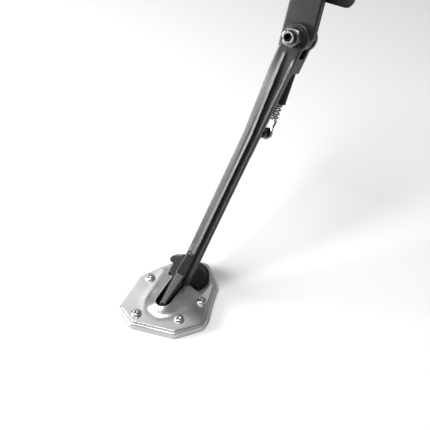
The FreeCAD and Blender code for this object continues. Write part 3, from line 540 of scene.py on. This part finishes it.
# %% Foot screws
SCREW_PLACES = [(24, 57), (-27, 44), (38.5, -6), (-38.5, 5)]
SHANK_RADIUS, SHANK_LENGTH = 4, 8.5
DOME_FROM, DOME_REACH, DOME_RISE, DOME_FOOT = 3.4, 3.0, 3.1, 0.5
HEAD_UNDER, FLAT_RADIUS, HEAD_TOP = 6.3, 2.9, 3.7
KEY_ACROSS, KEY_FLOOR, KEY_HEIGHT = 5.0, 1.4, 3.0
dome = [(DOME_FROM + DOME_REACH * math.sin(math.radians(step)),
         DOME_FOOT + DOME_RISE * math.cos(math.radians(step))) for step in range(90, 19, -10)]
screw_outline = [(0, -SHANK_LENGTH), (SHANK_RADIUS - 0.6, -SHANK_LENGTH),
                 (SHANK_RADIUS, 0.6 - SHANK_LENGTH), (SHANK_RADIUS, 0), (HEAD_UNDER, 0),
                 *dome, (FLAT_RADIUS, HEAD_TOP), (0, HEAD_TOP)]
heads = []
for number, (across, out) in enumerate(SCREW_PLACES):
    screw = carved(spun(screw_outline), hexagon(KEY_ACROSS, KEY_HEIGHT, KEY_FLOOR))
    soften(screw, 0.12, angle=40)
    stopped = Matrix.Translation((across, out, 0)) @ Matrix.Rotation(0.4 + 0.7 * number, 4, "Z")
    bmesh.ops.transform(screw, matrix=stopped, verts=screw.verts[:])
    heads.append(screw)
piece("button_screws", joined(*heads), FOOT, "stand", "screw_stainless", SCREW, "foot_screws")

# %% [markdown]
# ## Pivot nut
# The nut is hexagonal bar with both ends turned to a cone, which leaves curved bright arcs on
# its flats. The cone and the bar share only the nut's shape, so a boolean of what both share
# gives it, and a second cut gives the countersunk bore.

# %% Pivot nut
EAR_OUT, WASHER, NUT, PROUD = 13.4, 2.0, 10.5, 6.5
NUT_ACROSS, CONE_END, CONE_WIDE, CONE_DEPTH = 20, 10.1, 11.7, 0.95
BORE, SINK, SINK_DEPTH = 7.06, 7.9, 0.9
SKIN = 0.01
cone = spun([(0, -SKIN), (CONE_END, -SKIN), (CONE_WIDE, CONE_DEPTH), (CONE_WIDE, NUT - CONE_DEPTH),
             (CONE_END, NUT + SKIN), (0, NUT + SKIN)])
nut = carved(hexagon(NUT_ACROSS, NUT + 0.2, -0.1), cone, "INTERSECT")
nut = carved(nut, spun([(0, -1), (SINK, -1), (SINK, 0), (BORE, SINK_DEPTH), (BORE, NUT - SINK_DEPTH),
                        (SINK, NUT), (SINK, NUT + 1), (0, NUT + 1)]))
bmesh.ops.translate(nut, verts=nut.verts[:], vec=(0, 0, EAR_OUT + WASHER))
bmesh.ops.rotate(nut, verts=nut.verts[:], cent=(0, 0, 0), matrix=Matrix.Rotation(0.35, 3, "Z"))
piece("hex_nut", soften(nut, 0.15, angle=40), BOLT, "stand", "zinc_plated_steel", DARK_ZINC,
      "pivot_nut")

# %% [markdown]
# ## Pivot bolt
# The bolt passes through both ears, the bush and the tongue. Its far end is hollow, and stands out
# of the nut as a ring. A real thread is one helix; seven spun grooves look the same at this
# size and keep the mesh light. Only the ring's faces take the paler zinc, a painted highlight on
# the bolt's end, and the rest of the bolt is painted dark as painted shade.

# %% Pivot bolt
TIP = EAR_OUT + WASHER + NUT + PROUD
BOLT_RADIUS, ROOT_RADIUS, HOLLOW_RADIUS, HOLLOW_DEPTH = 7.0, 6.45, 4.5, 9
THREAD_PITCH, THREADS = 1.25, 7
HEAD_UNDERSIDE, HEAD_END, HEAD_ACROSS, HEAD_THICK = -14.9, -20.4, 21, 5.5
thread = []
for turn in range(THREADS):
    low = TIP - 1.2 - turn * THREAD_PITCH
    thread += [(BOLT_RADIUS, low), (ROOT_RADIUS, low - 0.62)]
shank = [(0, TIP - HOLLOW_DEPTH), (HOLLOW_RADIUS, TIP - HOLLOW_DEPTH), (HOLLOW_RADIUS, TIP - 0.5),
         (5.0, TIP), (6.3, TIP), *thread, (BOLT_RADIUS, TIP - 10.6), (BOLT_RADIUS, HEAD_UNDERSIDE),
         (0, HEAD_UNDERSIDE)]
head_cone = spun([(0, HEAD_END - 0.1), (10.2, HEAD_END - 0.1), (12.4, -19.2),
                  (12.4, HEAD_UNDERSIDE + 0.1), (0, HEAD_UNDERSIDE + 0.1)])
head = carved(hexagon(HEAD_ACROSS, HEAD_THICK, HEAD_END), head_cone, "INTERSECT")
bolt = piece("pivot_bolt_turned", joined(spun(shank), soften(head, 0.15, angle=40)), BOLT, "stand",
             "zinc_plated_steel", DARK_ZINC, "pivot_bolt")
bolt.data.materials.append(ZINC_AND_RING_HIGHLIGHT)
# The ring's faces are painted with the paler zinc as a painted highlight.
painted_highlight_starts = (TIP - 0.7) * MM
outward = BOLT.to_3x3() @ Vector((0, 0, 1))
for face in bolt.data.polygons:
    if (face.center - BOLT.translation).dot(outward) > painted_highlight_starts:
        face.material_index = 1
print("bright faces:", sum(face.material_index for face in bolt.data.polygons))

# %% [markdown]
# ## Pivot washers
# A punched washer has one rounded edge and one with a burr, tumbled until both are smooth. Each
# is a spun rectangle with softened edges.

# %% Pivot washers
for name, node, radius, low, high, material in (
        ("washer_outer", "outer_washer", 13.0, EAR_OUT, EAR_OUT + WASHER, DARK_ZINC),
        ("washer_inner", "inner_washer", 12.5, HEAD_UNDERSIDE, -EAR_OUT, ZINC_AND_RING_HIGHLIGHT)):
    ring = spun([(7.3, low), (radius, low), (radius, high), (7.3, high)], closed=True)
    piece(name, soften(ring, 0.25, segments=3), BOLT, "stand", "zinc_plated_steel", material, node)

# %% [markdown]
# ## Spring posts
# Each post is a turned stud pressed into its forging, with a chamfered end and a groove for a
# circlip. The circlip and the washer under it keep the hooks on.

# %% Stud and circlip makers
POST_RADIUS, PRESSED_RADIUS, GROOVE_RADIUS, PRESSED_LENGTH = 4.5, 3.5, 3.7, 8
CLIP_THICK, CLIP_FROM_END = 1.2, 2.6
CLIP_OPENING, LUG_RADIUS, LUG_OUT = 60, 1.1, 5.3


def stud(length, clip):
    """A post from below its seat to its end, with its groove at clip."""
    return spun([(0, -PRESSED_LENGTH), (3.2, -PRESSED_LENGTH), (PRESSED_RADIUS, -7.7),
                 (PRESSED_RADIUS, 0), (POST_RADIUS, 0), (POST_RADIUS, clip), (GROOVE_RADIUS, clip),
                 (GROOVE_RADIUS, clip + CLIP_THICK), (POST_RADIUS, clip + CLIP_THICK),
                 (POST_RADIUS, length - 0.7), (3.8, length), (0, length)])


def circlip(clip):
    """An open ring with a small round lug at each end."""
    ring = spun([(3.75, clip + 0.1), (5.9, clip + 0.1), (5.9, clip + 1.1), (3.75, clip + 1.1)],
                closed=True, steps=48, angle=math.radians(360 - CLIP_OPENING))
    bmesh.ops.holes_fill(ring, edges=ring.edges[:], sides=4)
    lugs = []
    for angle in (4, 356 - CLIP_OPENING):
        lug = bmesh.new()
        bmesh.ops.create_cone(lug, cap_ends=True, segments=20, radius1=LUG_RADIUS,
                              radius2=LUG_RADIUS, depth=1.0)
        across = LUG_OUT * math.cos(math.radians(angle))
        up = LUG_OUT * math.sin(math.radians(angle))
        bmesh.ops.translate(lug, verts=lug.verts[:], vec=(across, up, clip + CLIP_THICK / 2))
        lugs.append(lug)
    whole = joined(ring, *lugs)
    bmesh.ops.recalc_face_normals(whole, faces=whole.faces[:])
    return whole


print("circlips open by", CLIP_OPENING, "degrees")

# %% [markdown]
# The two posts differ only in where they sit and how far they stick out, so one loop makes both,
# each with its circlip and its washer. The height of a form runs inboard from the post's seat.

# %% Spring posts, circlips and washers
UPPER_SEAT, LOWER_SEAT = -5.5, -10.3
UPPER_TIP, LOWER_TIP = -38.5, -30.5
for label, body, base, seat, tip, (ahead, up) in (
        ("upper", "bracket", PIVOT, UPPER_SEAT, UPPER_TIP, UPPER_POST),
        ("lower", "stand", LEG, LOWER_SEAT, LOWER_TIP, LOWER_POST)):
    place = base @ Matrix.Translation(Vector((ahead, seat, up)) * MM) @ turned(90, "X")
    length = seat - tip
    clip = length - CLIP_FROM_END
    piece(label + "_post", soften(stud(length, clip), 0.12), place, body, "zinc_plated_steel",
          DARK_ZINC, label + "_spring_post")
    piece(label + "_clip", soften(circlip(clip), 0.1), place, body, "spring_steel", WIRE,
          label + "_circlip")
    disc = spun([(4.55, clip - 1), (6.6, clip - 1), (6.6, clip), (4.55, clip)], closed=True)
    piece(label + "_disc", soften(disc, 0.15), place, body, "zinc_plated_steel", DARK_ZINC,
          label + "_post_washer")

# %% [markdown]
# ## Springs
# Each spring is one length of wire: a hook round the lower post, a straight shank, the coils, a
# second shank and a second hook. The centre line is worked out as points, the corners at both
# ends of the coils are eased, and a round section is swept along it. Joining a helix to two rings
# would leave seams. The lower hook goes two thirds of the way round its post. The upper one stops
# just past half a turn, so that it clears its post at both ends of the stand's swing. Between
# them a real spring stretches. This wire doesn't, and passes through the post there.

# %% Centre line of a spring
HOOK_GAP = 0.3
LOWER_HOOK, UPPER_HOOK = 16.0, 24.0
STEPS_PER_TURN = 36
SHANK_END = 4


def hook(eye, side, centre, first, last):
    """Points round a post at that height, each five degrees after the one before."""
    return [Vector((-eye * math.sin(math.radians(angle)), side,
                    centre + eye * math.cos(math.radians(angle)))) for angle in range(first, last, -5)]


def spring_line(radius, wire, pitch, side, recess):
    """Points along the wire's centre, from the lower hook's tip to the upper one's."""
    start, stop = LOWER_HOOK + recess, SPAN - UPPER_HOOK - recess
    turns = round((stop - start) / pitch)
    steps = turns * STEPS_PER_TURN
    eye = POST_RADIUS + HOOK_GAP + wire / 2
    line = hook(eye, side, 0, 330, 89)
    line += [Vector((-eye, side, up)) for up in range(1, int(start) - SHANK_END)]
    first = len(line) - 3
    for step in range(steps + 1):
        angle = math.tau * step / STEPS_PER_TURN
        line.append(Vector((-radius * math.cos(angle), -radius * math.sin(angle),
                            start + (stop - start) * step / steps)))
    last = len(line) - 1
    line += [Vector((-eye, side, SPAN - up)) for up in range(int(start) - SHANK_END - 1, 0, -1)]
    line += hook(eye, side, SPAN, 90, -106)
    for low, high in ((first, first + 7), (last - 4, last + 4)):
        for _ in range(14):
            for at in range(low, high):
                line[at] = (line[at - 1] + line[at] * 2 + line[at + 1]) / 4
    return line


print("coils start", LOWER_HOOK, "mm above the lower post")

# %% [markdown]
# A curve with a round bevel is the quickest sweep. It is turned into a mesh at once, so the
# piece is a mesh like the others.

# %% Springs
def swept(line, wire):
    """A round wire along the points, as a form."""
    curve = bpy.data.curves.new("wire", "CURVE")
    curve.dimensions = "3D"
    curve.bevel_depth = wire / 2
    curve.bevel_resolution = 3
    curve.use_fill_caps = True
    run = curve.splines.new("POLY")
    run.points.add(len(line) - 1)
    for point, position in zip(run.points, line):
        point.co = (*position, 1)
    thing = bpy.data.objects.new("wire", curve)
    bpy.context.collection.objects.link(thing)
    bpy.context.view_layer.update()
    ready = thing.evaluated_get(bpy.context.evaluated_depsgraph_get())
    form = bmesh.new()
    form.from_mesh(ready.to_mesh())
    ready.to_mesh_clear()
    bpy.data.objects.remove(thing)
    bpy.data.curves.remove(curve)
    bmesh.ops.recalc_face_normals(form, faces=form.faces[:])
    return form


for name, node, radius, wire, pitch, side, recess in (
        ("outer_wire", "outer_spring", 6.7, 2.6, 5.0, 1.2, 0),
        ("inner_wire", "inner_spring", 3.3, 1.8, 4.0, -1.2, 4)):
    form = swept(spring_line(radius, wire, pitch, side, recess), wire)
    piece(name, form, SPRING, "springs", "spring_steel", WIRE, node)

# %% [markdown]
# ## Spring sleeve
# A moulded rubber tube keeps the springs from rattling and keeps grit out. Its lips are rounded
# and a little thicker than the wall.

# %% Spring sleeve
SLEEVE_LOW, SLEEVE_HIGH = 38.5, 96.5
SLEEVE_BORE, SLEEVE_WALL, LIP = 8.5, 10.15, 10.4
sleeve = spun([(SLEEVE_BORE, SLEEVE_LOW), (LIP, SLEEVE_LOW), (LIP, SLEEVE_LOW + 1.2),
               (SLEEVE_WALL, SLEEVE_LOW + 2.2), (SLEEVE_WALL, SLEEVE_HIGH - 2.2),
               (LIP, SLEEVE_HIGH - 1.2), (LIP, SLEEVE_HIGH), (SLEEVE_BORE, SLEEVE_HIGH)], closed=True)
piece("rubber_sleeve", soften(sleeve, 0.5, segments=4), SPRING, "springs", "sleeve_rubber", RUBBER,
      "spring_sleeve")

# %% [markdown]
# ## Bush and thrust washers
# These sit inside the joint, where only a thin line of each shows. Their nodes already have the
# right shape, so they stay and only take a bronze finish.

# %% Bush and thrust washers
for node in ("pivot_bush", "outer_thrust_washer", "inner_thrust_washer"):
    for socket in NODES[node].material_slots:
        socket.link = "OBJECT"
        socket.material = BRONZE
print("shown nodes:", [name for name, node in NODES.items() if not node.hide_render])

# %% [markdown]
# ## Camera
# The camera stands behind and outboard of the stand, above it, and looks down at the leg, about
# two thirds of the way to the foot, with a lens of about 85 mm.

# %% Camera
CAMERA_AT = Vector((-0.4635, 0.9337, 0.5012))
LOOK = Vector((0.4233, -0.6518, -0.6293))


def aimed(place, direction):
    """A matrix at the place, with its view along the direction."""
    return Matrix.Translation(place) @ direction.to_track_quat("-Z", "Y").to_matrix().to_4x4()


camera_data = bpy.data.cameras.new("camera")
camera_data.lens = 84.6
camera_data.sensor_width = 36
camera = bpy.data.objects.new("camera", camera_data)
camera.matrix_world = aimed(CAMERA_AT, LOOK)
bpy.context.collection.objects.link(camera)
bpy.context.scene.camera = camera
bpy.context.scene.view_settings.view_transform = "Standard"
print("camera at", list(CAMERA_AT))

# %% [markdown]
# ## Floor
# A plain matte floor just under the foot. It is wide, so that its edge is out of the camera's view.

# %% Floor
FLOOR_SHADE = 0.58
floor_mesh = bpy.data.meshes.new("floor")
floor_form = bmesh.new()
bmesh.ops.create_grid(floor_form, x_segments=1, y_segments=1, size=6)
floor_form.to_mesh(floor_mesh)
floor_form.free()
floor_mesh.transform(Matrix.Translation((0, 0, CAD_BOX[0][2])))
floor = bpy.data.objects.new("floor", floor_mesh)
bpy.context.collection.objects.link(floor)
floor_finish = bpy.data.materials.new("pale_floor")
floor_finish.use_nodes = True
paper = floor_finish.node_tree.nodes["Principled BSDF"]
paper.inputs["Base Color"].default_value = (FLOOR_SHADE, FLOOR_SHADE, FLOOR_SHADE, 1)
paper.inputs["Roughness"].default_value = 0.9
paper.inputs["Specular IOR Level"].default_value = 0.0
floor_mesh.materials.append(floor_finish)
print("floor at", round(CAD_BOX[0][2], 4))

# %% [markdown]
# ## Light
# The room is dim, so that black enamel can stay black, and three soft boxes do the work. The key
# stands low on the motorcycle's front side and lights the front faces. The top light hangs above,
# on the outboard side, and whitens the floor. The back light stands beyond the stand, seen from the
# camera, so that the flat plates mirror it.

# %% Room and soft boxes
ROOM = 0.25
world = bpy.data.worlds.new("studio")
world.use_nodes = True
world.node_tree.nodes["Background"].inputs["Color"].default_value = (1, 1, 1, 1)
world.node_tree.nodes["Background"].inputs["Strength"].default_value = ROOM
bpy.context.scene.world = world


def soft_light(name, place, target, power, width):
    """A square soft box of that width in metres, turned to its target."""
    data = bpy.data.lights.new(name, "AREA")
    data.energy = power
    data.size = width
    lamp = bpy.data.objects.new(name, data)
    lamp.matrix_world = aimed(Vector(place), Vector(target) - Vector(place))
    bpy.context.collection.objects.link(lamp)


soft_light("key", (1.25, 1.0, 0.15), (0, 0.1, -0.2), 55, 0.8)
soft_light("top", (0.1, 0.9, 1.5), (0, 0.1, -0.2), 48, 0.8)
soft_light("back", (1.25, -0.75, 0.8), (0.12, 0.15, -0.36), 4.6, 0.8)
print("soft boxes:", len(bpy.data.lights))
